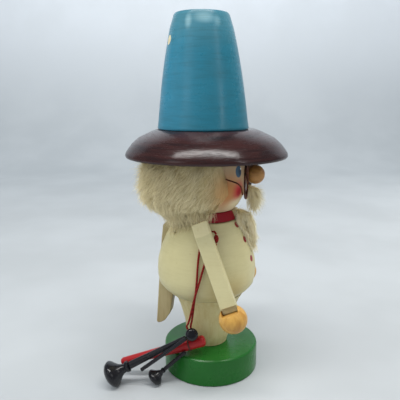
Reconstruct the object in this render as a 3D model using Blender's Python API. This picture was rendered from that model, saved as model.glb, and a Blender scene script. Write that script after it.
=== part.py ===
# Turned wooden nutcracker: a stout bearded figure in a tall hat on a round base.
# A long lever through the body works the lower jaw. A small bagpipe hangs by a cord from the shoulder.
# The figure faces -Y and its right side is at -X. The origin is the middle of the base's underside.

import math
import bpy
import bmesh
from mathutils import Matrix, Vector

MM = 0.001
GAP = 0.3                       # clearance between neighbouring pieces
CLEAR = 0.6                     # clearance of the fur from the wood behind it
STEPS = 44                      # facets round a large turned piece
SMALL_STEPS = 20                # facets round a ball, bell or peg

# Turned axes: each piece sits a little behind the one below it
TRUNK_Y = 2.5
TORSO_Y = 4.2
HEAD_Y = 4.6
CROWN_Y = 7.4
CROWN_LEAN = 1.5                # how far the crown's top sits behind its foot
HAT_PEG_Y = 5.5

# Heights of the joints: each turned piece stands on the one below it
BASE_TOP = 23.8
TRUNK_H = 48.2
TORSO_H = 66.8
COLLAR_H = 7.7
HEAD_H = 44.6
BRIM_H = 23.4
CROWN_H = 92.0
SEAT = 0.5                      # from the torso's shoulder to the collar's foot
WAIST_Z = BASE_TOP + TRUNK_H
SHOULDER_Z = WAIST_Z + TORSO_H
COLLAR_Z = SHOULDER_Z + SEAT
MOUTH_Z = COLLAR_Z + COLLAR_H
HEAD_TOP = MOUTH_Z + HEAD_H
BRIM_TOP = HEAD_TOP + BRIM_H
HAT_TOP = BRIM_TOP + CROWN_H

BASE_R = 42.0
TRUNK_R = 31.6
TORSO_R = 43.4
FACE_R = 34.8
BRIM_R = 68.8
CROWN_R = 38.4
PEG_R = 7.0                     # pegs of the base, waist and hat
PEG_DEPTH = 12.8                # how far a peg enters each piece that it joins
NECK_PEG_R = 3.0
NECK_PEG_X = 13.0
NECK_PEG_DEPTH = 10.0
NECK_R = 19.0
COLLAR_R = 26.7

# Lever and its slot
LEVER_W = 13.4
SLOT_W = LEVER_W + 1.0
PIVOT_Y = 28.0
PIVOT_Z = SHOULDER_Z - 7.8
PIN_R = 2.3
PIN_LENGTH = 40.0
JAW_FRONT = -22.3

# Arms and hands
ARM_W = 12.8
ARM_T = 9.0
ARM_LENGTH = 80.0               # from the hand's middle to the arm's top
ARM_SHOULDER = 68.5             # where the sloped top of the arm begins
ARM_END = 10.2                  # where the full thickness stops above the hand's middle
ARM_TONGUE = 5.2
ARM_LEAN = 0.2126               # sideways run of the arm per unit of height
ARM_RAKE = 0.41                 # forward run of the arm per unit of height
SHOULDER_PEG_Y = 0.0
SHOULDER_PEG_Z = SHOULDER_Z - 4.6
SHOULDER_PEG_R = 3.0
SHOULDER_PEG_IN = 18.0
SHOULDER_PEG_OUT = 43.4
HAND_R = 11.4
HAND_AT = (55.5, -26.0, SHOULDER_PEG_Z - 63.7)

# Face
NOSE_R = 8.2
NOSE_Y = HEAD_Y - FACE_R - 7.1
NOSE_Z = MOUTH_Z + 30.4
RIM_R = 13.8
RIM_X = 21.6
RIM_Y = HEAD_Y - FACE_R - 1.3
RIM_Z = MOUTH_Z + 27.8
WIRE_R = 0.95
TEMPLE_R = 0.65

# Bagpipe: it leans over the base's edge, and its bell ends stand on the ground beside it
HUB_AT = Vector((5.3 - BASE_R, 10.8, 44.5))
HUB_AXIS = Vector((-0.87, -0.17, 0.46)).normalized()
HUB_R = 5.4
HUB_LENGTH = 11.0
BAG_FROM = Vector((11.8 - BASE_R, 0.5, 36.9))
BAG_TO = Vector((5.8 - BASE_R, BASE_R + 32.0, 12.4))
BAG_R = (4.85, 3.5)
DRONE_TO = Vector((-BASE_R - 10.4, BASE_R + 33.7, 10.9))
DRONE_R = (2.0, 3.3)
BELL_R = 11.35
LASHING_AT = 13.6               # from the bag's cut end
STICK_TO = Vector((-BASE_R - 10.0, BASE_R + 9.4, 16.3))
STICK_R = 1.6
SMALL_FROM = Vector((4.5 - BASE_R, 16.2, 28.5))
SMALL_TO = Vector((-BASE_R - 3.0, BASE_R - 1.0, 6.9))
SMALL_R = 1.6
SMALL_BELL_R = 7.4
CORD_R = 0.85
CORD_STEP = 4 * CORD_R          # between two points of a cord's route
KNOT_AT = Vector((-36.2, -9.5, SHOULDER_Z - 9.2))
KNOT_R = (1.4, 2.0, 3.6)


def shaped(radius, foot, top, outline):
    """A turned outline from shares of a piece's largest radius and of its height."""
    return [(radius * across, foot + (top - foot) * up) for across, up in outline]


# Outer outlines of the turned pieces, as shares of the largest radius and of the height
TRUNK_SIDE = shaped(TRUNK_R, BASE_TOP + GAP, WAIST_Z, [
    (0.535, 0.0), (0.566, 0.081), (0.627, 0.203), (0.674, 0.432), (0.794, 0.72), (0.88, 0.866),
    (0.962, 0.954), (1.0, 1.0)])
TORSO_SIDE = shaped(TORSO_R, WAIST_Z + GAP, SHOULDER_Z, [
    (0.751, 0.0), (0.806, 0.03), (0.889, 0.081), (0.965, 0.144), (0.993, 0.236), (1.0, 0.326),
    (0.984, 0.453), (0.954, 0.532), (0.903, 0.642), (0.82, 0.777), (0.726, 0.89), (0.631, 0.988),
    (0.613, 1.0)])
HEAD_SIDE = shaped(FACE_R, MOUTH_Z + GAP, HEAD_TOP, [
    (0.678, 0.0), (0.707, 0.011), (0.81, 0.106), (0.937, 0.287), (0.983, 0.422), (1.0, 0.58),
    (0.994, 0.738), (0.974, 0.919), (0.957, 1.0)])
BRIM_SIDE = shaped(BRIM_R, HEAD_TOP + GAP, BRIM_TOP, [
    (0.968, 0.0), (0.99, 0.017), (1.0, 0.074), (0.994, 0.16), (0.969, 0.277), (0.914, 0.489),
    (0.834, 0.697), (0.689, 0.905), (0.619, 0.983), (0.602, 1.0)])
CROWN_SIDE = shaped(CROWN_R, BRIM_TOP + GAP, HAT_TOP, [
    (0.985, 0.0), (1.0, 0.01), (0.992, 0.025), (0.975, 0.078), (0.947, 0.185), (0.917, 0.293),
    (0.884, 0.398), (0.847, 0.504), (0.805, 0.609), (0.759, 0.712), (0.717, 0.8), (0.685, 0.865),
    (0.649, 0.915), (0.614, 0.96), (0.596, 0.985), (0.569, 1.0)])

# Lever and slot outlines, seen from the side: Y and Z from the pivot
JAW_TOP = MOUTH_Z - PIVOT_Z
LEVER_OUTLINE = [(JAW_FRONT - PIVOT_Y, JAW_TOP), (JAW_FRONT - PIVOT_Y, JAW_TOP - 8.0), (-36.0, 4.0),
                 (-16.0, 0.8), (-8.0, -2.0), (-2.5, -5.5), (3.4, -9.0), (3.6, -31.0), (5.8, -63.1),
                 (8.8, -82.8), (13.7, -90.1), (17.4, -92.4), (20.4, -93.0), (21.4, -91.6), (17.9, -41.9),
                 (15.7, -13.8), (14.1, 0.5), (8.0, 5.0), (2.0, 7.0), (-6.5, 7.4), (-6.5, JAW_TOP)]
SLOT_FOOT = WAIST_Z - 12.0 - PIVOT_Z
SLOT_OUTLINE = [(-88.0, -19.0), (-48.0, -12.6), (-15.0, -6.7), (-6.0, -6.7), (0.6, -9.0), (2.4, -14.0),
                (2.6, SLOT_FOOT), (42.0, SLOT_FOOT), (42.0, 34.0), (-88.0, 34.0)]


def clear_scene():
    for thing in list(bpy.data.objects):
        bpy.data.objects.remove(thing, do_unlink=True)


def paint(name, colour, roughness, metallic=0.0):
    mat = bpy.data.materials.new(name)
    mat.use_nodes = True
    shader = mat.node_tree.nodes["Principled BSDF"]
    shader.inputs["Base Color"].default_value = (*colour, 1.0)
    shader.inputs["Roughness"].default_value = roughness
    shader.inputs["Metallic"].default_value = metallic
    return mat


def solid(name, verts, faces, mat=None, smooth=True, at=(0, 0, 0)):
    """A mesh object from points in millimetres, placed at a point in millimetres."""
    mesh = bpy.data.meshes.new(name)
    mesh.from_pydata([Vector(v) * MM for v in verts], [], faces)
    bm = bmesh.new()
    bm.from_mesh(mesh)
    bmesh.ops.recalc_face_normals(bm, faces=bm.faces)
    bm.to_mesh(mesh)
    bm.free()
    if smooth:
        mesh.shade_smooth()
        mesh.set_sharp_from_angle(angle=math.radians(35))
    obj = bpy.data.objects.new(name, mesh)
    bpy.context.scene.collection.objects.link(obj)
    obj.location = Vector(at) * MM
    if mat:
        mesh.materials.append(mat)
    return obj


def loft(sections, closed=False):
    """Points and faces of a skin over equal sections. A section of one point is a pole."""
    verts, rows = [], []
    for section in sections:
        rows.append(range(len(verts), len(verts) + len(section)))
        verts.extend(section)
    pairs = list(zip(rows, rows[1:]))
    if closed:
        pairs.append((rows[-1], rows[0]))
    faces = []
    for low, high in pairs:
        count = max(len(low), len(high))
        for i in range(count):
            j = (i + 1) % count
            if len(low) == 1:
                faces.append((low[0], high[j], high[i]))
            elif len(high) == 1:
                faces.append((low[i], low[j], high[0]))
            else:
                faces.append((low[i], low[j], high[j], high[i]))
    if not closed:
        faces += [tuple(row) for row in (rows[0], rows[-1]) if len(row) > 1]
    return verts, faces


def turned(name, outline, mat=None, steps=STEPS, axis_y=0.0, lean=0.0, at=(0, 0, 0)):
    """A closed turned solid from an outline of radius and height, foot first."""
    foot, top = outline[0][1], outline[-1][1]
    sections = []
    for radius, z in [(0.0, foot)] + outline + [(0.0, top)]:
        y = axis_y + lean * (z - foot) / (top - foot)
        if radius == 0.0:
            sections.append([(0.0, y, z)])
            continue
        turn = [2 * math.pi * (i + 0.5) / steps for i in range(steps)]
        sections.append([(radius * math.sin(a), y - radius * math.cos(a), z) for a in turn])
    return solid(name, *loft(sections), mat, at=at)


def extruded(name, outline, x0, x1, mat=None):
    """A side outline of Y and Z carried across from x0 to x1."""
    sections = [[(x, y, z) for y, z in outline] for x in (x0, x1)]
    return solid(name, *loft(sections), mat, smooth=False)


def box(name, low, high, mat=None):
    outline = [(low[1], low[2]), (high[1], low[2]), (high[1], high[2]), (low[1], high[2])]
    return extruded(name, outline, low[0], high[0], mat)


def bevelled(obj, width, segments=1):
    bevel = obj.modifiers.new("edges", "BEVEL")
    bevel.width = width * MM
    bevel.segments = segments
    bevel.limit_method = "ANGLE"
    bevel.angle_limit = math.radians(40)
    return obj


def cutter(obj):
    obj.hide_render = True
    obj.display_type = "WIRE"
    return obj


def cut(obj, *tools):
    for tool in tools:
        hole = obj.modifiers.new("cut by " + tool.name, "BOOLEAN")
        hole.operation = "DIFFERENCE"
        hole.solver = "EXACT"
        hole.object = tool


def peg(name, radius, z0, z1, mat=None, y=0.0, x=0.0, steps=20):
    edge = 0.5
    outline = [(radius - edge, z0), (radius, z0 + edge), (radius, z1 - edge), (radius - edge, z1)]
    return turned(name, outline, mat, steps, at=(x, y, 0)) if mat else \
        turned(name, [(radius, z0), (radius, z1)], None, steps, at=(x, y, 0))


def aim(obj, at, along):
    """Places a piece turned about its own Z so that its Z runs along a direction."""
    obj.location = Vector(at) * MM
    obj.rotation_mode = "QUATERNION"
    obj.rotation_quaternion = Vector(along).to_track_quat("Z", "Y")
    return obj


def smooth_route(points, spacing):
    """Evenly spaced points on a smooth curve through the given points."""
    knots = [Vector(p) for p in points]
    knots = [2 * knots[0] - knots[1]] + knots + [2 * knots[-1] - knots[-2]]
    fine = []
    for i in range(1, len(knots) - 2):
        a, b, c, d = knots[i - 1:i + 3]
        for k in range(20):
            t = k / 20
            fine.append(0.5 * ((2 * b) + (c - a) * t + (2 * a - 5 * b + 4 * c - d) * t * t
                               + (3 * b - a - 3 * c + d) * t ** 3))
    fine.append(knots[-2])
    lengths = [0.0]
    for a, b in zip(fine, fine[1:]):
        lengths.append(lengths[-1] + (b - a).length)
    count = max(2, round(lengths[-1] / spacing))
    route, k = [], 0
    for i in range(count + 1):
        goal = lengths[-1] * i / count
        while k < len(fine) - 2 and lengths[k + 1] < goal:
            k += 1
        share = (goal - lengths[k]) / (lengths[k + 1] - lengths[k])
        route.append(fine[k].lerp(fine[k + 1], min(1.0, share)))
    return route


def tube(name, points, radius, mat, resolution=2):
    curve = bpy.data.curves.new(name, "CURVE")
    curve.dimensions = "3D"
    curve.bevel_depth = radius * MM
    curve.bevel_resolution = resolution
    curve.use_fill_caps = True
    spline = curve.splines.new("POLY")
    spline.points.add(len(points) - 1)
    for target, point in zip(spline.points, points):
        target.co = (*(Vector(point) * MM), 1.0)
    curve.materials.append(mat)
    obj = bpy.data.objects.new(name, curve)
    bpy.context.scene.collection.objects.link(obj)
    return obj


def stick(name, start, end, radii, mat, steps=16):
    """A straight round stick between two points, tapered evenly."""
    length = (end - start).length
    edge = 0.4
    outline = [(radii[0] - edge, 0.0), (radii[0], edge), (radii[1], length - edge), (radii[1] - edge, length)]
    return aim(turned(name, outline, mat, steps), start, end - start)


def at_height(side, z):
    """Radius of a turned outline at a height."""
    for (r0, z0), (r1, z1) in zip(side, side[1:]):
        if z0 <= z <= z1:
            return r0 + (r1 - r0) * (z - z0) / (z1 - z0)
    return side[0][0] if z < side[0][1] else side[-1][0]


def between(table, x):
    """Straight-line reading of a table of pairs."""
    if x <= table[0][0]:
        return table[0][1]
    for (x0, y0), (x1, y1) in zip(table, table[1:]):
        if x <= x1:
            return y0 + (y1 - y0) * (x - x0) / (x1 - x0)
    return table[-1][1]


def round_axis(axis_y, radius, degrees, z):
    """A point round a turned axis: 0 degrees is the front, 90 the figure's right side."""
    a = math.radians(degrees)
    return (-radius * math.sin(a), axis_y - radius * math.cos(a), z)


def make_base(wood, green):
    outline = [(BASE_R - 0.8, 0.0), (BASE_R, 0.8), (BASE_R, BASE_TOP - 2.2), (BASE_R - 0.5, BASE_TOP - 0.8),
               (BASE_R - 1.6, BASE_TOP)]
    base = turned("base_disc", outline, green)
    low, high = BASE_TOP - PEG_DEPTH, BASE_TOP + PEG_DEPTH
    bore = cutter(peg("base_bore", PEG_R + GAP, low, high, y=TRUNK_Y))
    cut(base, bore)
    peg("base_dowel", PEG_R, low + GAP, high - GAP, wood, y=TRUNK_Y)
    return bore


def make_trunk(cream, slot, base_bore, waist_bore):
    trunk = turned("trunk", TRUNK_SIDE, cream, axis_y=TRUNK_Y)
    cut(trunk, base_bore, waist_bore, slot)


def make_torso(cream, slot, waist_bore, neck_bores, shoulder_bores):
    outline = TORSO_SIDE + [(NECK_R + 0.4, SHOULDER_Z), (NECK_R, SHOULDER_Z + 0.4), (NECK_R, MOUTH_Z)]
    torso = turned("torso", outline, cream, axis_y=TORSO_Y)
    pin_hole = cutter(peg("pin_bore", PIN_R + GAP, -30, 30, steps=16))
    aim(pin_hole, (0, PIVOT_Y, PIVOT_Z), (1, 0, 0))
    cut(torso, slot, waist_bore, pin_hole, *neck_bores, *shoulder_bores)
    return pin_hole


def make_lever(tan, steel, pin_hole):
    half = LEVER_W / 2
    lever = extruded("jaw_lever", LEVER_OUTLINE, -half, half, tan)
    lever.location = Vector((0, PIVOT_Y, PIVOT_Z)) * MM
    cut(lever, pin_hole)
    bevelled(lever, 0.5)
    pin = peg("pivot_pin", PIN_R, -PIN_LENGTH / 2, PIN_LENGTH / 2, steel, steps=16)
    aim(pin, (0, PIVOT_Y, PIVOT_Z), (1, 0, 0))


def make_collar(red):
    """A turned ring round the neck, sawn open at the front for the jaw."""
    high, bore = COLLAR_R - 2.3, NECK_R + GAP
    outline = [(bore, COLLAR_Z), (COLLAR_R - 0.6, COLLAR_Z), (COLLAR_R, COLLAR_Z + 0.7),
               (COLLAR_R - 0.3, COLLAR_Z + 2.6), (high, MOUTH_Z - 0.6), (high - 0.6, MOUTH_Z), (bore, MOUTH_Z)]
    turns = [360 * (i + 0.5) / STEPS for i in range(STEPS)]
    sections = [[round_axis(TORSO_Y, r, turn, z) for r, z in outline] for turn in turns]
    collar = solid("collar", *loft(sections, closed=True), red)
    half = SLOT_W / 2
    low, high = (-half, -COLLAR_R * 2, COLLAR_Z - 2), (half, -NECK_R / 2, MOUTH_Z + 2)
    cut(collar, cutter(box("collar_slot", low, high)))


def make_head(skin, wood, neck_bores, hat_bore):
    head = turned("head", HEAD_SIDE, skin, axis_y=HEAD_Y)
    seat_y = NOSE_Y + NOSE_R + GAP
    seat = cutter(peg("nose_seat", 4.6, -12, 0, steps=SMALL_STEPS))
    aim(seat, (0, seat_y, NOSE_Z), (0, 1, 0))
    nose_bore = cutter(peg("nose_bore", 2.0 + GAP, -4, 7, steps=12))
    aim(nose_bore, (0, seat_y, NOSE_Z), (0, 1, 0))
    cut(head, seat, nose_bore, hat_bore, *neck_bores)
    turns = [math.radians(a) for a in range(15, 166, 15)]
    ball = [(NOSE_R * math.sin(a), -NOSE_R * math.cos(a)) for a in turns]
    stem = [(2.0, math.sqrt(NOSE_R ** 2 - 4.0)), (2.0, NOSE_R + 6.4), (1.6, NOSE_R + 6.8)]
    nose = turned("nose", ball + stem, wood, SMALL_STEPS)
    aim(nose, (0, NOSE_Y, NOSE_Z), (0, 1, 0))


def make_hat(teal, mahogany, hat_bore):
    brim = turned("hat_brim", BRIM_SIDE, mahogany, axis_y=HEAD_Y)
    crown = turned("hat_crown", CROWN_SIDE, teal, axis_y=CROWN_Y, lean=CROWN_LEAN)
    cut(brim, hat_bore)
    cut(crown, hat_bore)


def arm_frame(side):
    """Frame of an arm: X outward, Z up along the arm, its zero at the hand's middle."""
    across = Vector((side, 0.0, ARM_LEAN)).normalized()
    up = Vector((-side * ARM_LEAN, ARM_RAKE, 1.0)).normalized()
    frame = Matrix((across, up.cross(across), up)).transposed().to_4x4()
    frame.translation = Vector((side * HAND_AT[0], HAND_AT[1], HAND_AT[2])) * MM
    return frame


def make_arm(side, label, cream, gold, wood):
    """A flat arm board with its tongue in a round hand, held by a peg in the shoulder."""
    half = ARM_T / 2
    end = 4 * MM
    frame = arm_frame(side)
    profile = [(-half, ARM_TONGUE), (0.5, ARM_TONGUE), (0.5, ARM_END), (half, ARM_END), (half, ARM_SHOULDER),
               (1.6, ARM_LENGTH), (-half, ARM_LENGTH)]
    sections = [[(x, y, z) for x, z in profile] for y in (-ARM_W / 2, ARM_W / 2)]
    arm = solid(label + "_arm", *loft(sections), cream, smooth=False)
    arm.matrix_world = frame
    bore = peg(label + "_shoulder_bore", SHOULDER_PEG_R + GAP, SHOULDER_PEG_IN, SHOULDER_PEG_OUT, steps=20)
    cutter(bore)
    aim(bore, (0, SHOULDER_PEG_Y, SHOULDER_PEG_Z), (side, 0, 0))
    bevelled(arm, 0.5)
    cut(arm, bore)
    dowel = peg(label + "_shoulder_dowel", SHOULDER_PEG_R, SHOULDER_PEG_IN + GAP, SHOULDER_PEG_OUT - GAP, wood,
                steps=20)
    aim(dowel, (0, SHOULDER_PEG_Y, SHOULDER_PEG_Z), (side, 0, 0))
    turns = [math.radians(a) for a in range(12, 169, 12)]
    ball = [(HAND_R * math.sin(a), -HAND_R * math.cos(a)) for a in turns]
    hand = turned(label + "_hand", ball, gold, 24)
    hand.matrix_world = frame
    notch = cutter(box(label + "_notch", (-half - GAP, -ARM_W / 2 - GAP, ARM_TONGUE - GAP),
                       (HAND_R + 4, ARM_W / 2 + GAP, HAND_R + 6)))
    notch.matrix_world = frame
    cut(hand, notch)
    return bore


def make_hair(fur):
    """Thick hair round the sides and back of the head, from the brim down past the collar."""
    face_edge = [(MOUTH_Z + rise, turn) for rise, turn in
                 [(0.0, 71.0), (8.5, 63.0), (17.0, 51.0), (29.5, 54.5), (41.0, 61.0), (45.0, 62.0)]]
    foot = [(50, 4.0), (75, 1.5), (100, 1.2), (112, -4.5), (130, -8.5), (150, -10.5), (162, -7.2),
            (180, -7.2)]
    back = [(MOUTH_Z + rise, reach) for rise, reach in
            [(-11.0, 33.2), (-7.0, 37.0), (-3.0, 42.5), (2.0, 48.5), (8.0, 53.0), (14.0, 55.0), (20.0, 55.0),
             (28.0, 53.8), (37.0, 53.0), (45.0, 52.0)]]
    spread = [(50, 0.14), (62, 0.24), (90, 0.5), (120, 0.76), (150, 0.94), (180, 1.0)]
    inner = [(SHOULDER_Z - 4.0, 30.6 + CLEAR), (COLLAR_Z, COLLAR_R + CLEAR + 0.1),
             (MOUTH_Z, 24.9 + CLEAR + 0.1)]
    inner += [(z, r + CLEAR + GAP) for r, z in HEAD_SIDE[1:]]
    top, levels, turns = HEAD_TOP - 0.4, 9, 30
    sections = []
    for i in range(turns + 1):
        share = i / turns
        from_back = 180 - abs(180 - 360 * share)
        low = MOUTH_Z + between(foot, 50 + from_back * 130 / 180)
        rounded = min(1.0, 0.45 + 0.27 * min(i, turns - i))
        inside, outside = [], []
        for k in range(levels + 1):
            z = low + (top - low) * k / levels
            edge = between(face_edge, z)
            turn = edge + (360 - 2 * edge) * share
            radius = between(inner, z)
            full = rounded * min(1.0, 0.45 + 0.09 * (z - low))
            thick = max(2.4, between(back, z) - radius) * between(spread, min(turn, 360 - turn)) * full
            inside.append(round_axis(HEAD_Y, radius, turn, z))
            outside.append(round_axis(HEAD_Y, radius + max(0.9, thick), turn, z))
        sections.append(inside + outside[::-1])
    solid("hair", *loft(sections), fur)


def tuft(name, fur, rows, turns=12):
    """A rounded tuft hung in front: each row is height, back and front line, and half width."""
    sections = []
    for z, back, front, half in rows:
        middle, deep = (back + front) / 2, (back - front) / 2
        section = []
        for i in range(turns):
            a = 2 * math.pi * i / turns
            section.append((half * math.cos(a), middle + deep * math.sin(a), z))
        sections.append(section)
    return solid(name, *loft(sections), fur)


def make_beard(fur):
    """The beard is glued to the jaw's front and hangs over the chest."""
    glued = [(7.8, -28.0, 4.0), (6.4, -31.4, 4.8), (3.2, -35.0, 5.2)]
    rows = [(SHOULDER_Z + rise, JAW_FRONT - 0.4, front, half) for rise, front, half in glued]
    hanging = [(1.2, -37.4, 5.2), (8.8, -38.7, 5.0), (14.8, -39.3, 4.6), (19.0, -39.1, 3.8), (22.8, -38.8, 2.6)]
    for drop, front, half in hanging:
        z = SHOULDER_Z - drop
        rows.append((z, TORSO_Y - at_height(TORSO_SIDE, z) - 2 * CLEAR, front, half))
    tuft("beard", fur, rows[::-1])


def make_moustache(fur):
    """The moustache is glued under the nose and hangs clear of the face."""
    hanging = [(4.5, -33.4, -38.2, 2.8), (8.0, -32.6, -39.8, 4.6), (13.0, -31.6, -40.4, 5.8)]
    rows = [(MOUTH_Z + rise, back, front, half) for rise, back, front, half in hanging]
    for rise, front, half in [(19.4, -39.2, 5.8), (21.2, -36.6, 4.4)]:
        z = MOUTH_Z + rise
        rows.append((z, HEAD_Y - at_height(HEAD_SIDE, z) - GAP, front, half))
    tuft("moustache", fur, rows)


def make_spectacles(wire):
    """Two round wire rims, a bridge over the nose and two side wires that end in the hair."""
    round_steps, wire_steps = 32, 6
    for side, label in ((-1, "right"), (1, "left")):
        rings = []
        for i in range(round_steps):
            a = 2 * math.pi * i / round_steps
            ring = []
            for k in range(wire_steps):
                b = 2 * math.pi * k / wire_steps
                reach = RIM_R + WIRE_R * math.cos(b)
                ring.append((reach * math.cos(a), WIRE_R * math.sin(b), reach * math.sin(a)))
            rings.append(ring)
        solid("spectacle_rim_" + label, *loft(rings, closed=True), wire, at=(side * RIM_X, RIM_Y, RIM_Z))
        seat = WIRE_R + TEMPLE_R + GAP
        bends = [(2.6, seat, -8.9), (1.0, seat + 0.3, -5.0), (0.3, seat + 1.6, -1.7), (0.4, 6.0, 0.4),
                 (1.2, 10.6, 1.8), (2.0, 15.2, 3.0)]
        route = [(side * (RIM_X + RIM_R - inward), RIM_Y + back, RIM_Z + rise) for inward, back, rise in bends]
        tube("spectacle_temple_" + label, smooth_route(route, 1.8), TEMPLE_R, wire)
    inner_x = RIM_X - math.sqrt(RIM_R ** 2 - 5.2 ** 2)
    reach = inner_x - WIRE_R - 2 * GAP
    arch = [(-1.0, 5.2), (-0.86, 8.4), (-0.5, 10.9), (0.0, 11.7), (0.5, 10.9), (0.86, 8.4), (1.0, 5.2)]
    route = [(reach * across, RIM_Y, RIM_Z + rise) for across, rise in arch]
    tube("spectacle_bridge", smooth_route(route, 1.6), TEMPLE_R, wire)


def from_hub(end, along):
    """Where a pipe that points at an end leaves the hub's round side."""
    start = HUB_AT + HUB_AXIS * along
    flat = (end - start) - HUB_AXIS * (end - start).dot(HUB_AXIS)
    return start + flat.normalized() * (HUB_R + GAP)


def bell(name, at, along, radius, neck, mat):
    """A turned bell end: bead at the neck, flared body, domed front with a small bore."""
    bead = neck * 1.45
    body = [(neck * 0.9, -radius * 1.35), (bead, -radius * 1.28), (bead, -radius * 1.1),
            (neck * 1.1, -radius * 0.98)]
    flare = [(0.36, -0.8), (0.47, -0.58), (0.66, -0.36), (0.86, -0.18), (0.97, -0.06), (1.0, 0.06),
             (0.96, 0.2), (0.84, 0.36), (0.64, 0.48), (0.42, 0.53), (0.3, 0.5), (0.26, 0.34)]
    body += [(radius * across, radius * forward) for across, forward in flare]
    return aim(turned(name, body, mat, SMALL_STEPS), at, along)


def make_bagpipe(black, red, brown, cord):
    reach = HUB_LENGTH / 2
    outline = [(HUB_R - 0.8, -reach), (HUB_R, -reach + 0.8), (HUB_R, reach - 2.2), (HUB_R - 0.6, reach - 0.9),
               (HUB_R - 2.0, reach - 0.2), (HUB_R - 3.6, reach)]
    aim(turned("pipe_hub", outline, black, SMALL_STEPS), HUB_AT, HUB_AXIS)
    length = (BAG_TO - BAG_FROM).length
    outline = [(2.6, 0.0), (3.9, 0.5), (BAG_R[0], 2.0), (BAG_R[0], 14.0), (BAG_R[1], length - 2.4),
               (BAG_R[1] - 0.9, length - 0.5), (BAG_R[1] - 2.0, length)]
    aim(turned("bagpipe_bag", outline, red, SMALL_STEPS), BAG_FROM, BAG_TO - BAG_FROM)
    along = (BAG_TO - BAG_FROM).normalized()
    ring_r, ring_w = BAG_R[0] + GAP, 1.2
    ring = [(ring_r, 0.0), (ring_r + 0.4, 0.1), (ring_r + 0.55, ring_w / 2), (ring_r + 0.4, ring_w - 0.1),
            (ring_r, ring_w)]
    turns = [2 * math.pi * i / SMALL_STEPS for i in range(SMALL_STEPS)]
    sections = [[(r * math.cos(a), r * math.sin(a), z) for r, z in ring] for a in turns]
    aim(solid("bag_lashing", *loft(sections, closed=True), brown), BAG_FROM + along * LASHING_AT, along)

    start = from_hub(DRONE_TO, -1.6)
    direction = (DRONE_TO - start).normalized()
    seat = DRONE_TO - direction * (BELL_R * 1.35 + GAP)
    stick("bass_drone_tube", start, seat, DRONE_R, black)
    bell("bass_drone_bell", DRONE_TO, direction, BELL_R, DRONE_R[1], black)
    stick("blow_stick", from_hub(STICK_TO, 2.9), STICK_TO, (STICK_R, STICK_R), black, 12)
    direction = (SMALL_TO - SMALL_FROM).normalized()
    seat = SMALL_TO - direction * (SMALL_BELL_R * 1.35 + GAP)
    stick("small_drone_tube", SMALL_FROM, seat, (SMALL_R, SMALL_R * 1.1), black, 12)
    bell("small_drone_bell", SMALL_TO, direction, SMALL_BELL_R, SMALL_R, black)
    make_cord(cord)


def make_cord(cord):
    """The cord rises from the hub, goes over the shoulder peg to a knot, and its ends cross on the belly."""
    up = (Vector((0, 0, 1)) - HUB_AXIS * HUB_AXIS.z).normalized()
    back = up.cross(HUB_AXIS) if up.cross(HUB_AXIS).y > 0 else HUB_AXIS.cross(up)

    def on_hub(along, turn, rise):
        a = math.radians(turn)
        return HUB_AT + HUB_AXIS * along + (up * math.cos(a) + back * math.sin(a)) * (HUB_R + rise)

    loop = SHOULDER_PEG_R + CORD_R + 2.5 * GAP
    over = []
    for degrees in (20, 55, 90, 125, 160):
        a = math.radians(degrees)
        over.append((-33.4, SHOULDER_PEG_Y + loop * math.cos(a), SHOULDER_PEG_Z + loop * math.sin(a)))
    knot_x, knot_y, knot_z = KNOT_AT
    meet = KNOT_R[2] + GAP
    rising = [(-38.4, 10.3, 58.0), (-41.7, 7.6, 76.0), (-43.5, 6.2, 84.0), (-44.7, 5.4, 90.0),
              (-45.1, 4.7, 98.0), (-43.6, 4.4, 107.0), (-41.3, 4.1, 114.0), (-38.6, 3.6, 121.2),
              (-35.6, 3.9, 128.0)]
    falling = [(-34.0, -5.0, 134.6), (-35.2, -7.6, 135.4), (-36.1, -9.3, 135.0),
               (knot_x, knot_y, knot_z + meet)]
    long_route = [on_hub(2.6, 8, GAP), on_hub(2.6, 8, 2.0)] + rising + over + falling
    tube("cord_long", smooth_route(long_route, CORD_STEP), CORD_R, cord)
    rising = [(-39.3, 12.5, 58.0), (-44.0, 8.0, 76.0), (-45.7, 5.9, 84.0), (-46.5, 4.1, 90.0),
              (-45.6, 2.0, 97.5), (-43.2, -0.1, 106.0), (-40.8, -2.1, 112.6), (-39.3, -5.2, 118.4),
              (-37.7, -8.0, 122.0), (-36.5, -9.4, 124.1), (knot_x, knot_y, knot_z - meet)]
    short_route = [on_hub(2.6, 38, GAP), on_hub(2.6, 38, 2.0)] + rising
    tube("cord_short", smooth_route(short_route, CORD_STEP), CORD_R, cord)
    ball = [(math.sin(math.radians(a)), -math.cos(math.radians(a))) for a in range(20, 161, 20)]
    sections = [[(0, 0, -KNOT_R[2])]]
    for r, z in ball:
        turns = [2 * math.pi * i / 12 for i in range(12)]
        x, y = KNOT_R[0] * r, KNOT_R[1] * r
        sections.append([(x * math.cos(a), y * math.sin(a), KNOT_R[2] * z) for a in turns])
    sections.append([(0, 0, KNOT_R[2])])
    solid("cord_knot", *loft(sections), cord, at=KNOT_AT)


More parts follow.
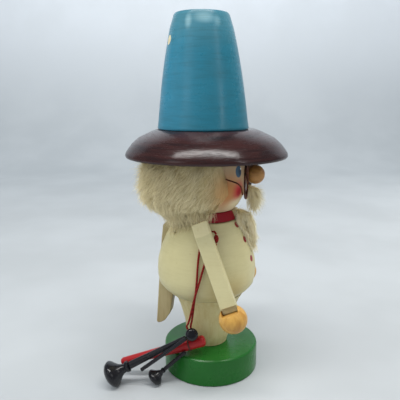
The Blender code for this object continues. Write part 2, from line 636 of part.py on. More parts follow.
def build():
    clear_scene()
    cream = paint("cream painted wood", (0.56, 0.52, 0.38), 0.42)
    skin = paint("pale skin paint", (0.66, 0.45, 0.34), 0.42)
    tan = paint("varnished lever wood", (0.52, 0.42, 0.25), 0.45)
    gold = paint("golden varnished wood", (0.56, 0.33, 0.10), 0.35)
    wood = paint("bare beech", (0.58, 0.42, 0.24), 0.6)
    nose_wood = paint("nose wood", (0.55, 0.32, 0.14), 0.35)
    green = paint("green painted wood", (0.07, 0.25, 0.09), 0.35)
    teal = paint("blue painted wood", (0.04, 0.20, 0.30), 0.35)
    mahogany = paint("dark brown stain", (0.06, 0.02, 0.022), 0.3)
    red = paint("red paint", (0.40, 0.01, 0.025), 0.4)
    bag_red = paint("bright red paint", (0.55, 0.015, 0.04), 0.35)
    black = paint("black lacquer", (0.012, 0.012, 0.014), 0.2)
    brown = paint("brown thread", (0.12, 0.04, 0.03), 0.8)
    cord = paint("dark red cord", (0.22, 0.012, 0.02), 0.8)
    fur = paint("white fur", (0.78, 0.74, 0.66), 0.9)
    wire = paint("gilt wire", (0.20, 0.11, 0.06), 0.35, 0.9)
    steel = paint("steel pin", (0.45, 0.45, 0.46), 0.35, 1.0)

    slot = cutter(extruded("slot", SLOT_OUTLINE, -SLOT_W / 2, SLOT_W / 2))
    slot.location = Vector((0, PIVOT_Y, PIVOT_Z)) * MM
    waist_low, waist_high = WAIST_Z - PEG_DEPTH, WAIST_Z + PEG_DEPTH
    waist_bore = cutter(peg("waist_bore", PEG_R + GAP, waist_low, waist_high, y=TRUNK_Y))
    hat_low, hat_high = HEAD_TOP - PEG_DEPTH, BRIM_TOP + PEG_DEPTH
    hat_bore = cutter(peg("hat_bore", PEG_R + GAP, hat_low, hat_high, y=HAT_PEG_Y))
    neck_low, neck_high = MOUTH_Z - NECK_PEG_DEPTH, MOUTH_Z + NECK_PEG_DEPTH
    neck_bores = []
    for side, label in ((-1, "right"), (1, "left")):
        x = side * NECK_PEG_X
        bore = peg("neck_bore_" + label, NECK_PEG_R + GAP, neck_low, neck_high, y=TORSO_Y, x=x, steps=16)
        neck_bores.append(cutter(bore))
        peg("neck_dowel_" + label, NECK_PEG_R, neck_low + GAP, neck_high - GAP, wood, y=TORSO_Y, x=x, steps=16)

    base_bore = make_base(wood, green)
    peg("waist_dowel", PEG_R, waist_low + GAP, waist_high - GAP, wood, y=TRUNK_Y)
    make_trunk(cream, slot, base_bore, waist_bore)
    arm_bores = [make_arm(side, label, cream, gold, wood) for side, label in ((-1, "right"), (1, "left"))]
    pin_hole = make_torso(cream, slot, waist_bore, neck_bores, arm_bores)
    make_lever(tan, steel, pin_hole)
    make_collar(red)
    make_head(skin, nose_wood, neck_bores, hat_bore)
    make_hat(teal, mahogany, hat_bore)
    peg("hat_dowel", PEG_R, hat_low + GAP, hat_high - GAP, wood, y=HAT_PEG_Y)
    make_hair(fur)
    make_beard(fur)
    make_moustache(fur)
    make_spectacles(wire)
    make_bagpipe(black, bag_red, brown, cord)


build()
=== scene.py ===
# Looks of the turned wooden nutcracker: paint, varnish, wire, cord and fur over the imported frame.
# The frame is the part's own, in metres: the figure faces -Y and its right side is at -X. Rows of a
# turned surface, cord routes and tables are written in millimetres and scaled where they are used.

import math
import bmesh
import bpy
import numpy as np
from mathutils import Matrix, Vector
from mathutils.bvhtree import BVHTree
from mathutils.kdtree import KDTree
from mathutils.noise import noise_vector, seed_set


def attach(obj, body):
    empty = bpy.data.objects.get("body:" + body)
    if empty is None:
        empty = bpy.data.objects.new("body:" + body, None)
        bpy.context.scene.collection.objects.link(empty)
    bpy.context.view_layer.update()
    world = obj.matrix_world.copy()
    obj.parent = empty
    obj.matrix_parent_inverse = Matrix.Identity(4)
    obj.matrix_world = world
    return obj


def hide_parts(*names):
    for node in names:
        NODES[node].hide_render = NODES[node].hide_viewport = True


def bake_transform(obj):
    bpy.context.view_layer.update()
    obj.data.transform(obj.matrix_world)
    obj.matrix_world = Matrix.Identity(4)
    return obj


MM = 0.001
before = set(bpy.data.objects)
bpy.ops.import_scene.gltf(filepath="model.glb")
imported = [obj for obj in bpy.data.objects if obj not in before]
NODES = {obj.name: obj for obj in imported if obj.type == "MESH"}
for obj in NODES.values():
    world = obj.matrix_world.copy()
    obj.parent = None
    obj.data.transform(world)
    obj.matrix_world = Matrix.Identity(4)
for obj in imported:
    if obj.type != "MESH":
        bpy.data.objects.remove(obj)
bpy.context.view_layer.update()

HEAD_Y = 4.6 * MM                       # the turned axis of the head, and that of the body
TORSO_Y = 4.2 * MM


# Camera

CAMERA_AT = Vector((-407.5, -61.7, 240.5)) * MM
CAMERA_TURN = math.radians(10.0)        # how far the view swings from the figure's right side to its front
CAMERA_DIP = math.radians(11.89)
CAMERA_LENS = 43.6
LEVEL = Vector((math.cos(CAMERA_TURN), math.sin(CAMERA_TURN), 0.0))     # away from the camera
RIGHT = Vector((LEVEL.y, -LEVEL.x, 0.0))
UP = Vector((0, 0, 1))


def make_camera():
    data = bpy.data.cameras.new("camera")
    data.lens = CAMERA_LENS
    data.sensor_width = 36.0
    data.clip_start = 0.01
    camera = bpy.data.objects.new("camera", data)
    bpy.context.scene.collection.objects.link(camera)
    camera.location = CAMERA_AT
    look = LEVEL * math.cos(CAMERA_DIP) - UP * math.sin(CAMERA_DIP)
    camera.rotation_euler = look.to_track_quat("-Z", "Y").to_euler()
    bpy.context.scene.camera = camera


# Node helpers

def node(tree, kind, **settings):
    made = tree.nodes.new(kind)
    for key, value in settings.items():
        setattr(made, key, value)
    return made


def feed(tree, socket, source):
    """Links a socket to another, or sets its value. A colour may come without its alpha."""
    if isinstance(source, bpy.types.NodeSocket):
        tree.links.new(source, socket)
    elif isinstance(source, (tuple, list, Vector)):
        needs_alpha = len(source) == 3 and socket.type != "VECTOR"
        socket.default_value = (*source, 1.0) if needs_alpha else tuple(source)
    else:
        socket.default_value = source


def maths(tree, operation, a, b=0.0, clamp=False):
    made = node(tree, "ShaderNodeMath", operation=operation, use_clamp=clamp)
    feed(tree, made.inputs[0], a)
    feed(tree, made.inputs[1], b)
    return made.outputs[0]


MIX_A, MIX_B, MIX_RESULT = 6, 7, 2      # the colour sockets of a Mix node


def mix(tree, share, a, b, blend="MIX"):
    made = node(tree, "ShaderNodeMix", data_type="RGBA", blend_type=blend)
    feed(tree, made.inputs["Factor"], share)
    feed(tree, made.inputs[MIX_A], a)
    feed(tree, made.inputs[MIX_B], b)
    return made.outputs[MIX_RESULT]


def ramp(tree, value, low, high, out_low=0.0, out_high=1.0):
    made = node(tree, "ShaderNodeMapRange", interpolation_type="SMOOTHSTEP")
    for slot, source in zip(("Value", "From Min", "From Max", "To Min", "To Max"),
                            (value, low, high, out_low, out_high)):
        feed(tree, made.inputs[slot], source)
    return made.outputs[0]


def stretched(tree, point, scale):
    made = node(tree, "ShaderNodeVectorMath", operation="MULTIPLY")
    feed(tree, made.inputs[0], point)
    feed(tree, made.inputs[1], scale)
    return made.outputs[0]


def noise(tree, point, scale, detail=3.0, rough=0.55):
    made = node(tree, "ShaderNodeTexNoise")
    feed(tree, made.inputs["Vector"], point)
    feed(tree, made.inputs["Scale"], scale)
    feed(tree, made.inputs["Detail"], detail)
    feed(tree, made.inputs["Roughness"], rough)
    return made.outputs[0]


def bump(tree, height, distance, strength=1.0):
    made = node(tree, "ShaderNodeBump")
    feed(tree, made.inputs["Height"], height)
    feed(tree, made.inputs["Distance"], distance)
    feed(tree, made.inputs["Strength"], strength)
    return made.outputs[0]


def group(name, inputs, outputs):
    tree = bpy.data.node_groups.new(name, "ShaderNodeTree")
    kinds = {"color": "NodeSocketColor", "value": "NodeSocketFloat", "vector": "NodeSocketVector"}
    for label, kind in inputs:
        tree.interface.new_socket(label, in_out="INPUT", socket_type=kinds[kind])
    for label, kind in outputs:
        tree.interface.new_socket(label, in_out="OUTPUT", socket_type=kinds[kind])
    return tree, tree.nodes.new("NodeGroupInput").outputs, tree.nodes.new("NodeGroupOutput").inputs


def use(tree, shared, **values):
    made = node(tree, "ShaderNodeGroup", node_tree=shared)
    for key, value in values.items():
        feed(tree, made.inputs[key.replace("_", " ")], value)
    return made.outputs


def make_paint_group():
    """Brushed paint on turned wood: faint lathe rings, cloudy tone, small rubs and specks."""
    tree, into, out = group(
        "brushed paint",
        [("Colour", "color"), ("Rubbed colour", "color"), ("Roughness", "value"), ("Wear", "value"),
         ("Rings", "value")],
        [("Colour", "color"), ("Roughness", "value"), ("Normal", "vector")])
    point = node(tree, "ShaderNodeTexCoord").outputs["Object"]
    rings = noise(tree, stretched(tree, point, (45.0, 45.0, 620.0)), 1.0, 4.0, 0.7)
    cloud = noise(tree, point, 45.0, 4.0)
    speck = noise(tree, point, 700.0, 2.0)
    patch = noise(tree, point, 160.0, 5.0, 0.7)
    rub = maths(tree, "MULTIPLY", ramp(tree, patch, 0.60, 0.74), into["Wear"])
    cloudy = mix(tree, 1.0, into["Colour"], (0.62, 0.58, 0.5), "MULTIPLY")
    toned = mix(tree, ramp(tree, cloud, 0.3, 0.75, 0.0, 0.22), into["Colour"], cloudy)
    ringed = mix(tree, 1.0, toned, (0.7, 0.66, 0.6), "MULTIPLY")
    toned = mix(tree, maths(tree, "MULTIPLY", ramp(tree, rings, 0.42, 0.66), into["Rings"]), toned, ringed)
    specks = maths(tree, "MULTIPLY", ramp(tree, speck, 0.70, 0.78), 0.35)
    toned = mix(tree, specks, toned, into["Rubbed colour"])
    feed(tree, out["Colour"], mix(tree, rub, toned, into["Rubbed colour"]))
    rough = maths(tree, "ADD", into["Roughness"], ramp(tree, cloud, 0.3, 0.7, -0.05, 0.1))
    feed(tree, out["Roughness"], maths(tree, "ADD", rough, maths(tree, "MULTIPLY", rub, 0.2), True))
    height = maths(tree, "ADD", maths(tree, "MULTIPLY", rings, 0.6), maths(tree, "MULTIPLY", speck, 0.4))
    feed(tree, out["Normal"], bump(tree, height, 0.00012, 0.6))
    return tree


def make_grain_group():
    """Straight wood grain under varnish, long in one direction."""
    tree, into, out = group(
        "varnished grain",
        [("Colour", "color"), ("Dark colour", "color"), ("Grain scale", "vector"), ("Roughness", "value")],
        [("Colour", "color"), ("Roughness", "value"), ("Normal", "vector")])
    point = node(tree, "ShaderNodeTexCoord").outputs["Object"]
    along = stretched(tree, point, into["Grain scale"])
    bands = noise(tree, along, 1.0, 4.0, 0.6)
    pores = noise(tree, along, 4.5, 3.0, 0.7)
    cloud = noise(tree, point, 60.0, 3.0)
    streaks = ramp(tree, bands, 0.38, 0.68, 0.0, 0.75)
    shade = maths(tree, "ADD", streaks, ramp(tree, pores, 0.55, 0.75, 0.0, 0.35))
    toned = mix(tree, shade, into["Colour"], into["Dark colour"])
    cloudy = ramp(tree, cloud, 0.35, 0.75, 0.0, 0.25)
    feed(tree, out["Colour"], mix(tree, cloudy, toned, into["Dark colour"]))
    open_pores = ramp(tree, pores, 0.4, 0.7, 0.0, 0.15)
    feed(tree, out["Roughness"], maths(tree, "ADD", into["Roughness"], open_pores))
    feed(tree, out["Normal"], bump(tree, pores, 0.0001, 0.5))
    return tree


def make_spot_group():
    """A soft-edged oval dab of paint: 1 inside, 0 outside."""
    tree, into, out = group("dab", [("Centre", "vector"), ("Size", "vector"), ("Softness", "value")],
                            [("Mask", "value")])
    point = node(tree, "ShaderNodeTexCoord").outputs["Object"]
    apart = node(tree, "ShaderNodeVectorMath", operation="SUBTRACT")
    feed(tree, apart.inputs[0], point)
    feed(tree, apart.inputs[1], into["Centre"])
    share = node(tree, "ShaderNodeVectorMath", operation="DIVIDE")
    feed(tree, share.inputs[0], apart.outputs[0])
    feed(tree, share.inputs[1], into["Size"])
    far = node(tree, "ShaderNodeVectorMath", operation="LENGTH")
    feed(tree, far.inputs[0], share.outputs[0])
    low = maths(tree, "SUBTRACT", 1.0, into["Softness"])
    high = maths(tree, "ADD", 1.0, into["Softness"])
    feed(tree, out["Mask"], ramp(tree, far.outputs["Value"], low, high, 1.0, 0.0))
    return tree


PAINT = make_paint_group()
GRAIN = make_grain_group()
DAB = make_spot_group()


def material(name):
    made = bpy.data.materials.new(name)
    made.use_nodes = True
    return made, made.node_tree, made.node_tree.nodes["Principled BSDF"]


def dress(tree, shader, look, shine):
    feed(tree, shader.inputs["Base Color"], look["Colour"])
    feed(tree, shader.inputs["Roughness"], look["Roughness"])
    feed(tree, shader.inputs["Normal"], look["Normal"])
    shader.inputs["Specular IOR Level"].default_value = shine


def painted(name, colour, rubbed, rough, wear=0.4, shine=0.4, dabs=(), rings=0.12):
    """Painted wood. Each dab is a colour, a softness and the ovals that it fills."""
    made, tree, shader = material(name)
    base = tuple(colour) + (1.0,)
    for dab_colour, softness, ovals in dabs:
        for centre, size in ovals:
            mask = use(tree, DAB, Centre=centre, Size=size, Softness=softness)["Mask"]
            base = mix(tree, mask, base, dab_colour)
    look = use(tree, PAINT, Colour=base, Rubbed_colour=rubbed, Roughness=rough, Wear=wear, Rings=rings)
    dress(tree, shader, look, shine)
    return made


def grained(name, colour, dark, scale, rough, shine=0.4):
    made, tree, shader = material(name)
    look = use(tree, GRAIN, Colour=colour, Dark_colour=dark, Grain_scale=scale, Roughness=rough)
    dress(tree, shader, look, shine)
    return made


def around(axis_y, radius, degrees, height):
    """A point on a turned surface: 0 degrees is the front, 90 the figure's right side."""
    turn = math.radians(degrees)
    return (-radius * MM * math.sin(turn), axis_y - radius * MM * math.cos(turn), height * MM)


def oval(*halves):
    """An oval's half sizes along the three axes, from millimetres."""
    return tuple(half * MM for half in halves)


def ball(radius):
    return oval(radius, radius, radius)


def both_sides(ovals):
    """The ovals and their mirror images on the figure's other side."""
    return [((side * x, y, z), size) for (x, y, z), size in ovals for side in (1, -1)]


FACE_EDGE = both_sides([(around(HEAD_Y, 37.0, 52.0, 166.0), oval(15.0, 15.0, 17.0))])
FACE_EDGE_SOFTNESS = 0.8


def fur_material(name, root, tip):
    """Long fur: each strand has its own tone, darker near its root and browner next to the face."""
    made, tree, shader = material(name)
    tone = node(tree, "ShaderNodeAttribute", attribute_name="strand")
    parts = node(tree, "ShaderNodeSeparateColor")
    feed(tree, parts.inputs[0], tone.outputs["Color"])
    along, own = parts.outputs[0], parts.outputs[1]
    base = mix(tree, ramp(tree, along, 0.0, 0.8), root, tip)
    darker = mix(tree, 1.0, base, (0.74, 0.65, 0.48), "MULTIPLY")
    base = mix(tree, ramp(tree, own, 0.0, 1.0, 0.0, 0.35), base, darker)
    for centre, size in FACE_EDGE:
        mask = use(tree, DAB, Centre=centre, Size=size, Softness=FACE_EDGE_SOFTNESS)["Mask"]
        browner = mix(tree, 1.0, base, (0.80, 0.58, 0.36), "MULTIPLY")
        base = mix(tree, maths(tree, "MULTIPLY", mask, 0.75), base, browner)
    feed(tree, shader.inputs["Base Color"], base)
    shader.inputs["Roughness"].default_value = 0.7
    shader.inputs["Specular IOR Level"].default_value = 0.3
    return made


CRISP = ("base_disc", "jaw_lever", "right_arm", "left_arm", "collar")
CRISP_TURN, ROUND_TURN = 26.0, 46.0     # degrees between faces up to which an edge is shaded round


def smooth_nodes():
    """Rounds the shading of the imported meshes: corners share a normal where their faces turn little."""
    for name, obj in NODES.items():
        limit = CRISP_TURN if name in CRISP else ROUND_TURN
        mesh = obj.data
        mesh.calc_loop_triangles()
        count = len(mesh.polygons)
        sides = np.empty(count * 3)
        mesh.polygons.foreach_get("normal", sides)
        sides = sides.reshape(-1, 3)
        area = np.empty(count)
        mesh.polygons.foreach_get("area", area)
        corner_face = np.repeat(np.arange(count), [len(p.vertices) for p in mesh.polygons])
        corner_vert = np.empty(len(mesh.loops), dtype=np.int32)
        mesh.loops.foreach_get("vertex_index", corner_vert)
        points = np.empty(len(mesh.vertices) * 3)
        mesh.vertices.foreach_get("co", points)
        keys = np.round(points.reshape(-1, 3)[corner_vert] * 1e6).astype(np.int64)
        _, spot = np.unique(keys, axis=0, return_inverse=True)
        spot = spot.reshape(-1)
        order = np.argsort(spot, kind="stable")
        starts = np.flatnonzero(np.r_[True, np.diff(spot[order]) > 0])
        least = math.cos(math.radians(limit))
        shaded = np.empty((len(mesh.loops), 3))
        for corners in np.split(order, starts[1:]):
            faces = corner_face[corners]
            n = sides[faces]
            near = (n @ n.T > least) * area[faces][None, :]
            shaded[corners] = near @ n
        shaded /= np.linalg.norm(shaded, axis=1, keepdims=True) + 1e-15
        mesh.polygons.foreach_set("use_smooth", [True] * count)
        mesh.normals_split_custom_set(shaded.tolist())


def set_material(names, made):
    for name in names:
        mesh = NODES[name].data
        mesh.materials.clear()
        mesh.materials.append(made)


# Cord

def smooth_route(points, spacing):
    """A smooth curve through the points, cut into even steps."""
    knots = [Vector(p) for p in points]
    knots = [2 * knots[0] - knots[1]] + knots + [2 * knots[-1] - knots[-2]]
    fine = []
    for i in range(1, len(knots) - 2):
        a, b, c, d = knots[i - 1:i + 3]
        for k in range(20):
            t = k / 20
            fine.append(0.5 * ((2 * b) + (c - a) * t + (2 * a - 5 * b + 4 * c - d) * t * t
                               + (3 * b - a - 3 * c + d) * t ** 3))
    fine.append(knots[-2])
    lengths = [0.0]
    for a, b in zip(fine, fine[1:]):
        lengths.append(lengths[-1] + (b - a).length)
    count = max(2, round(lengths[-1] / spacing))
    route, k = [], 0
    for i in range(count + 1):
        goal = lengths[-1] * i / count
        while k < len(fine) - 2 and lengths[k + 1] < goal:
            k += 1
        share = (goal - lengths[k]) / (lengths[k + 1] - lengths[k])
        route.append(fine[k].lerp(fine[k + 1], min(1.0, share)))
    return route


CORD_R = 0.85                           # the cord's values are in millimetres, as in the part's source
CORD_GAP = 0.3
CORD_STEP = 3.4                         # between the points of a laid cord
SHOULDER_PEG_R = 3.0
SHOULDER_PEG_Z = 134.2
HUB_AT = Vector((-36.7, 10.8, 44.5))
HUB_AXIS = Vector((-0.87, -0.17, 0.46)).normalized()
HUB_R = 5.4
KNOT_AT = Vector((-36.2, -9.5, 129.6))
KNOT_HALF = 3.6


def on_hub(along, turn, rise):
    """A point beside the pipe hub: so far along its axis, turned from its top, clear of its skin."""
    up = (UP - HUB_AXIS * HUB_AXIS.z).normalized()
    back = up.cross(HUB_AXIS) if up.cross(HUB_AXIS).y > 0 else HUB_AXIS.cross(up)
    a = math.radians(turn)
    return HUB_AT + HUB_AXIS * along + (up * math.cos(a) + back * math.sin(a)) * (HUB_R + rise)


def cord_routes():
    """The long strand goes from the hub over the shoulder peg to the knot, the short one back down."""
    loop = SHOULDER_PEG_R + CORD_R + 2.5 * CORD_GAP
    over = []
    for degrees in (20, 55, 90, 125, 160):
        a = math.radians(degrees)
        over.append((-33.4, loop * math.cos(a), SHOULDER_PEG_Z + loop * math.sin(a)))
    meet = KNOT_HALF + CORD_GAP
    knot_x, knot_y, knot_z = KNOT_AT
    rising = [(-38.4, 10.3, 58.0), (-41.7, 7.6, 76.0), (-43.5, 6.2, 84.0), (-44.7, 5.4, 90.0),
              (-45.1, 4.7, 98.0), (-43.6, 4.4, 107.0), (-41.3, 4.1, 114.0), (-38.6, 3.6, 121.2),
              (-35.6, 3.9, 128.0)]
    falling = [(-34.0, -5.0, 134.6), (-35.2, -7.6, 135.4), (-36.1, -9.3, 135.0),
               (knot_x, knot_y, knot_z + meet)]
    long_route = [on_hub(2.6, 8, CORD_GAP), on_hub(2.6, 8, 2.0)] + rising + over + falling
    rising = [(-39.3, 12.5, 58.0), (-44.0, 8.0, 76.0), (-45.7, 5.9, 84.0), (-46.5, 4.1, 90.0),
              (-45.6, 2.0, 97.5), (-43.2, -0.1, 106.0), (-40.8, -2.1, 112.6), (-39.3, -5.2, 118.4),
              (-37.7, -8.0, 122.0), (-36.5, -9.4, 124.1), (knot_x, knot_y, knot_z - meet)]
    short_route = [on_hub(2.6, 38, CORD_GAP), on_hub(2.6, 38, 2.0)] + rising
    return {"cord_long": long_route, "cord_short": short_route}


def cord_material():
    """Twisted dark red cord, painted darker in the grooves between its plies as painted shade."""
    made, tree, shader = material("twisted red cord")
    point = node(tree, "ShaderNodeTexCoord").outputs["Object"]
    ply = node(tree, "ShaderNodeTexWave", wave_type="BANDS", bands_direction="DIAGONAL")
    feed(tree, ply.inputs["Vector"], point)
    feed(tree, ply.inputs["Scale"], 260.0)
    feed(tree, ply.inputs["Distortion"], 0.6)
    fluff = noise(tree, point, 1800.0, 2.0)
    # painted shade: the twist bands darken the grooves between the plies; the fluff adds random tone
    ply_groove_shade = maths(tree, "MULTIPLY", ply.outputs["Fac"], 0.6)
    shade = maths(tree, "ADD", ply_groove_shade, maths(tree, "MULTIPLY", fluff, 0.4))
    feed(tree, shader.inputs["Base Color"], mix(tree, shade, (0.085, 0.005, 0.005), (0.34, 0.022, 0.018)))
    feed(tree, shader.inputs["Normal"], bump(tree, shade, 0.0003, 0.8))
    shader.inputs["Roughness"].default_value = 0.85
    shader.inputs["Specular IOR Level"].default_value = 0.15
    return made


def make_cords():
    look = cord_material()
    for name, points in cord_routes().items():
        route = [p * MM for p in smooth_route(points, CORD_STEP)]
        curve = bpy.data.curves.new(name + "_strand", "CURVE")
        curve.dimensions = "3D"
        curve.bevel_depth = CORD_R * MM
        curve.bevel_resolution = 3
        curve.use_fill_caps = True
        spline = curve.splines.new("POLY")
        spline.points.add(len(route) - 1)
        for target, point in zip(spline.points, route):
            target.co = (*point, 1.0)
        curve.materials.append(look)
        piece = bpy.data.objects.new(name + "_strand", curve)
        bpy.context.scene.collection.objects.link(piece)
        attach(piece, "bagpipe")
        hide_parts(name)
    set_material(["cord_knot"], look)


# Fur

def mesh_object(name, verts, faces, made):
    mesh = bpy.data.meshes.new(name)
    mesh.from_pydata(verts, [], faces)
    mesh.materials.append(made)
    mesh.shade_smooth()
    piece = bpy.data.objects.new(name, mesh)
    bpy.context.scene.collection.objects.link(piece)
    return piece


def scatter(name, count, rng, axis_y, least):
    """Random points and directions on a CAD solid's skin, where it faces out enough from an axis."""
    mesh = NODES[name].data
    mesh.calc_loop_triangles()
    points = np.array([v.co for v in mesh.vertices])
    tris = points[np.array([t.vertices for t in mesh.loop_triangles])]
    normal = np.cross(tris[:, 1] - tris[:, 0], tris[:, 2] - tris[:, 0])
    area = np.linalg.norm(normal, axis=1)
    normal /= area[:, None] + 1e-15
    middle = tris.mean(1) - np.array([0.0, axis_y, 0.0])
    middle[:, 2] = 0.0
    outward = (normal * middle).sum(1) / (np.linalg.norm(middle, axis=1) + 1e-9)
    area = np.where(outward > least, area, 0.0)
    pick = rng.choice(len(tris), count, p=area / area.sum())
    a, b = rng.random(count), rng.random(count)
    flip = a + b > 1
    a[flip], b[flip] = 1 - a[flip], 1 - b[flip]
    t = tris[pick]
    return t[:, 0] + a[:, None] * (t[:, 1] - t[:, 0]) + b[:, None] * (t[:, 2] - t[:, 0]), normal[pick]


def unit(v):
    return v / (np.linalg.norm(v, axis=-1, keepdims=True) + 1e-12)


def fade(value, start, end):
    """0 before the start, 1 past the end and even steps between."""
    return np.clip((value - start) / (end - start), 0.0, 1.0)


def facing(points, axis_y):
    """Outward directions from a turned axis, and turns in degrees from the front."""
    out = points - np.array([0.0, axis_y, 0.0])
    out[:, 2] = 0.0
    out = unit(out)
    return out, np.degrees(np.arctan2(np.abs(out[:, 0]), -out[:, 1]))


def swirl(points, scale):
    """A smooth wandering direction at each point, so that neighbouring strands bend alike."""
    return np.array([noise_vector(Vector(p) * scale) for p in points])


def grow(roots, heading, lengths, rng, sag, curl, tight, steps=5):
    """Centre lines of strands that leave their roots, sag, wander and draw together in locks."""
    count = len(roots)
    guide = rng.choice(count, count // 10, replace=False)
    tree = KDTree(len(guide))
    for k, g in enumerate(guide):
        tree.insert(roots[g], k)
    tree.balance()
    leader = guide[[tree.find(r)[1] for r in roots]]
    bend = unit(rng.normal(size=(count, 3)))
    share = np.arange(steps + 1) / steps
    line = roots[:, None] + (heading * lengths[:, None])[:, None] * share[None, :, None]
    line += (bend * (lengths * curl)[:, None])[:, None] * (share ** 2)[None, :, None]
    line[..., 2] -= (lengths * sag)[:, None] * share ** 2
    return line + (line[leader] - line) * (tight * share ** 1.5)[None, :, None]


def hold(name, line, reach):
    """Draws strands back to a skin where they stand farther off it than their reach."""
    mesh = NODES[name].data
    tree = BVHTree.FromPolygons([v.co for v in mesh.vertices], [p.vertices for p in mesh.polygons])
    share = np.linspace(0.25, 1.0, line.shape[1])
    for strand, far in zip(line, reach):
        for k, point in enumerate(strand):
            near, side, _, apart = tree.find_nearest(point)
            allowed = far * share[k]
            if apart > allowed and (Vector(point) - near).dot(side) > 0.0:
                strand[k] = near + (Vector(point) - near) * (allowed / apart)
    return line


def make_strands(name, line, normal, width, rng, made):
    """Thin tapered ribbons along centre lines, lying roughly flat to the skin."""
    count, rows = line.shape[:2]
    along = unit(np.gradient(line, axis=1))
    spin = unit(normal + rng.normal(size=(count, 3)) * 0.45)
    side = unit(np.cross(along, spin[:, None, :]))
    taper = np.interp(np.linspace(0, 1, rows), [0, 0.2, 0.6, 1.0], [0.8, 1.0, 0.8, 0.15]) * width / 2
    edge = side * taper[None, :, None]
    verts = np.stack([line - edge, line + edge], 2).reshape(-1, 3)
    base = ((np.arange(count) * rows * 2)[:, None] + np.arange(rows - 1)[None, :] * 2).reshape(-1)
    faces = np.stack([base, base + 1, base + 3, base + 2], 1)
    piece = mesh_object(name, verts.tolist(), faces.tolist(), made)
    tone = piece.data.color_attributes.new("strand", "FLOAT_COLOR", "POINT")
    share = np.broadcast_to(np.linspace(0, 1, rows)[None, :, None], (count, rows, 2)).reshape(-1)
    own = np.repeat(rng.random(count), rows * 2)
    values = np.stack([share, own, own, np.ones_like(own)], 1).astype(np.float32)
    tone.data.foreach_set("color", values.ravel())
    return piece


def away_from(points, axis_y, radius):
    """Pushes points out of a round post on the Z axis."""
    flat = points[..., :2] - np.array([0.0, axis_y])
    reach = np.linalg.norm(flat, axis=-1, keepdims=True)
    points[..., :2] = np.array([0.0, axis_y]) + flat * np.maximum(1.0, radius / np.maximum(reach, 1e-9))
    return points


def combed(normal, lift, stray, rng):
    """Strand headings: down along the skin, lifted off it a little, with some stray."""
    down = np.array([0.0, 0.0, -1.0])
    slope = unit(down - normal * (normal @ down)[:, None])
    return unit(slope + normal * lift + rng.normal(size=normal.shape) * stray)


HAIR_STRANDS, BEARD_STRANDS, MOUSTACHE_STRANDS = 26000, 7000, 1700          # before thinning out
HAIR_WIDTH, BEARD_WIDTH, MOUSTACHE_WIDTH = 0.26 * MM, 0.24 * MM, 0.22 * MM
HAIR_DEPTH, BEARD_DEPTH, MOUSTACHE_DEPTH = 1.8 * MM, 0.8 * MM, 1.6 * MM     # of the roots under the skin
BRIM_UNDERSIDE = 191.2 * MM
HEAD_R = 35.2 * MM
HEAD_FOOT = 150.0 * MM
SHOULDERS = [(120.0, 38.6), (131.5, 32.8), (138.0, 29.0), (139.0, 27.6), (147.0, 25.8),
             (150.0, 25.2)]             # heights and radii of the shoulders, the collar and the neck


def table(rows, at):
    """Reads a table of millimetre pairs at lengths in metres."""
    places, values = zip(*rows)
    return np.interp(at, [v * MM for v in places], [v * MM for v in values])


def hair_roots(rng):
    """Roots all over the hair: thinner next to the face, thick along the lower edge."""
    roots, normal = scatter("hair", HAIR_STRANDS, rng, HEAD_Y, -0.2)
    turn = facing(roots, HEAD_Y)[1]
    near_face = fade(turn, 88.0, 54.0)
    low_edge = (roots[:, 2] < 154.0 * MM) & (turn > 58.0)
    keep = (rng.random(len(roots)) > 0.27 + 0.38 * near_face) | low_edge
    return roots[keep], normal[keep], near_face[keep]


def clear_of_body(line):
    """Keeps the hair under the brim and out of the head, the neck, the collar and the shoulders."""
    line[..., 2] = np.minimum(line[..., 2], BRIM_UNDERSIDE)
    beside_head = away_from(line.copy(), HEAD_Y, HEAD_R)
    line = np.where((line[..., 2] > HEAD_FOOT)[..., None], beside_head, line)
    return away_from(line, HEAD_Y, table(SHOULDERS, line[..., 2])[..., None])


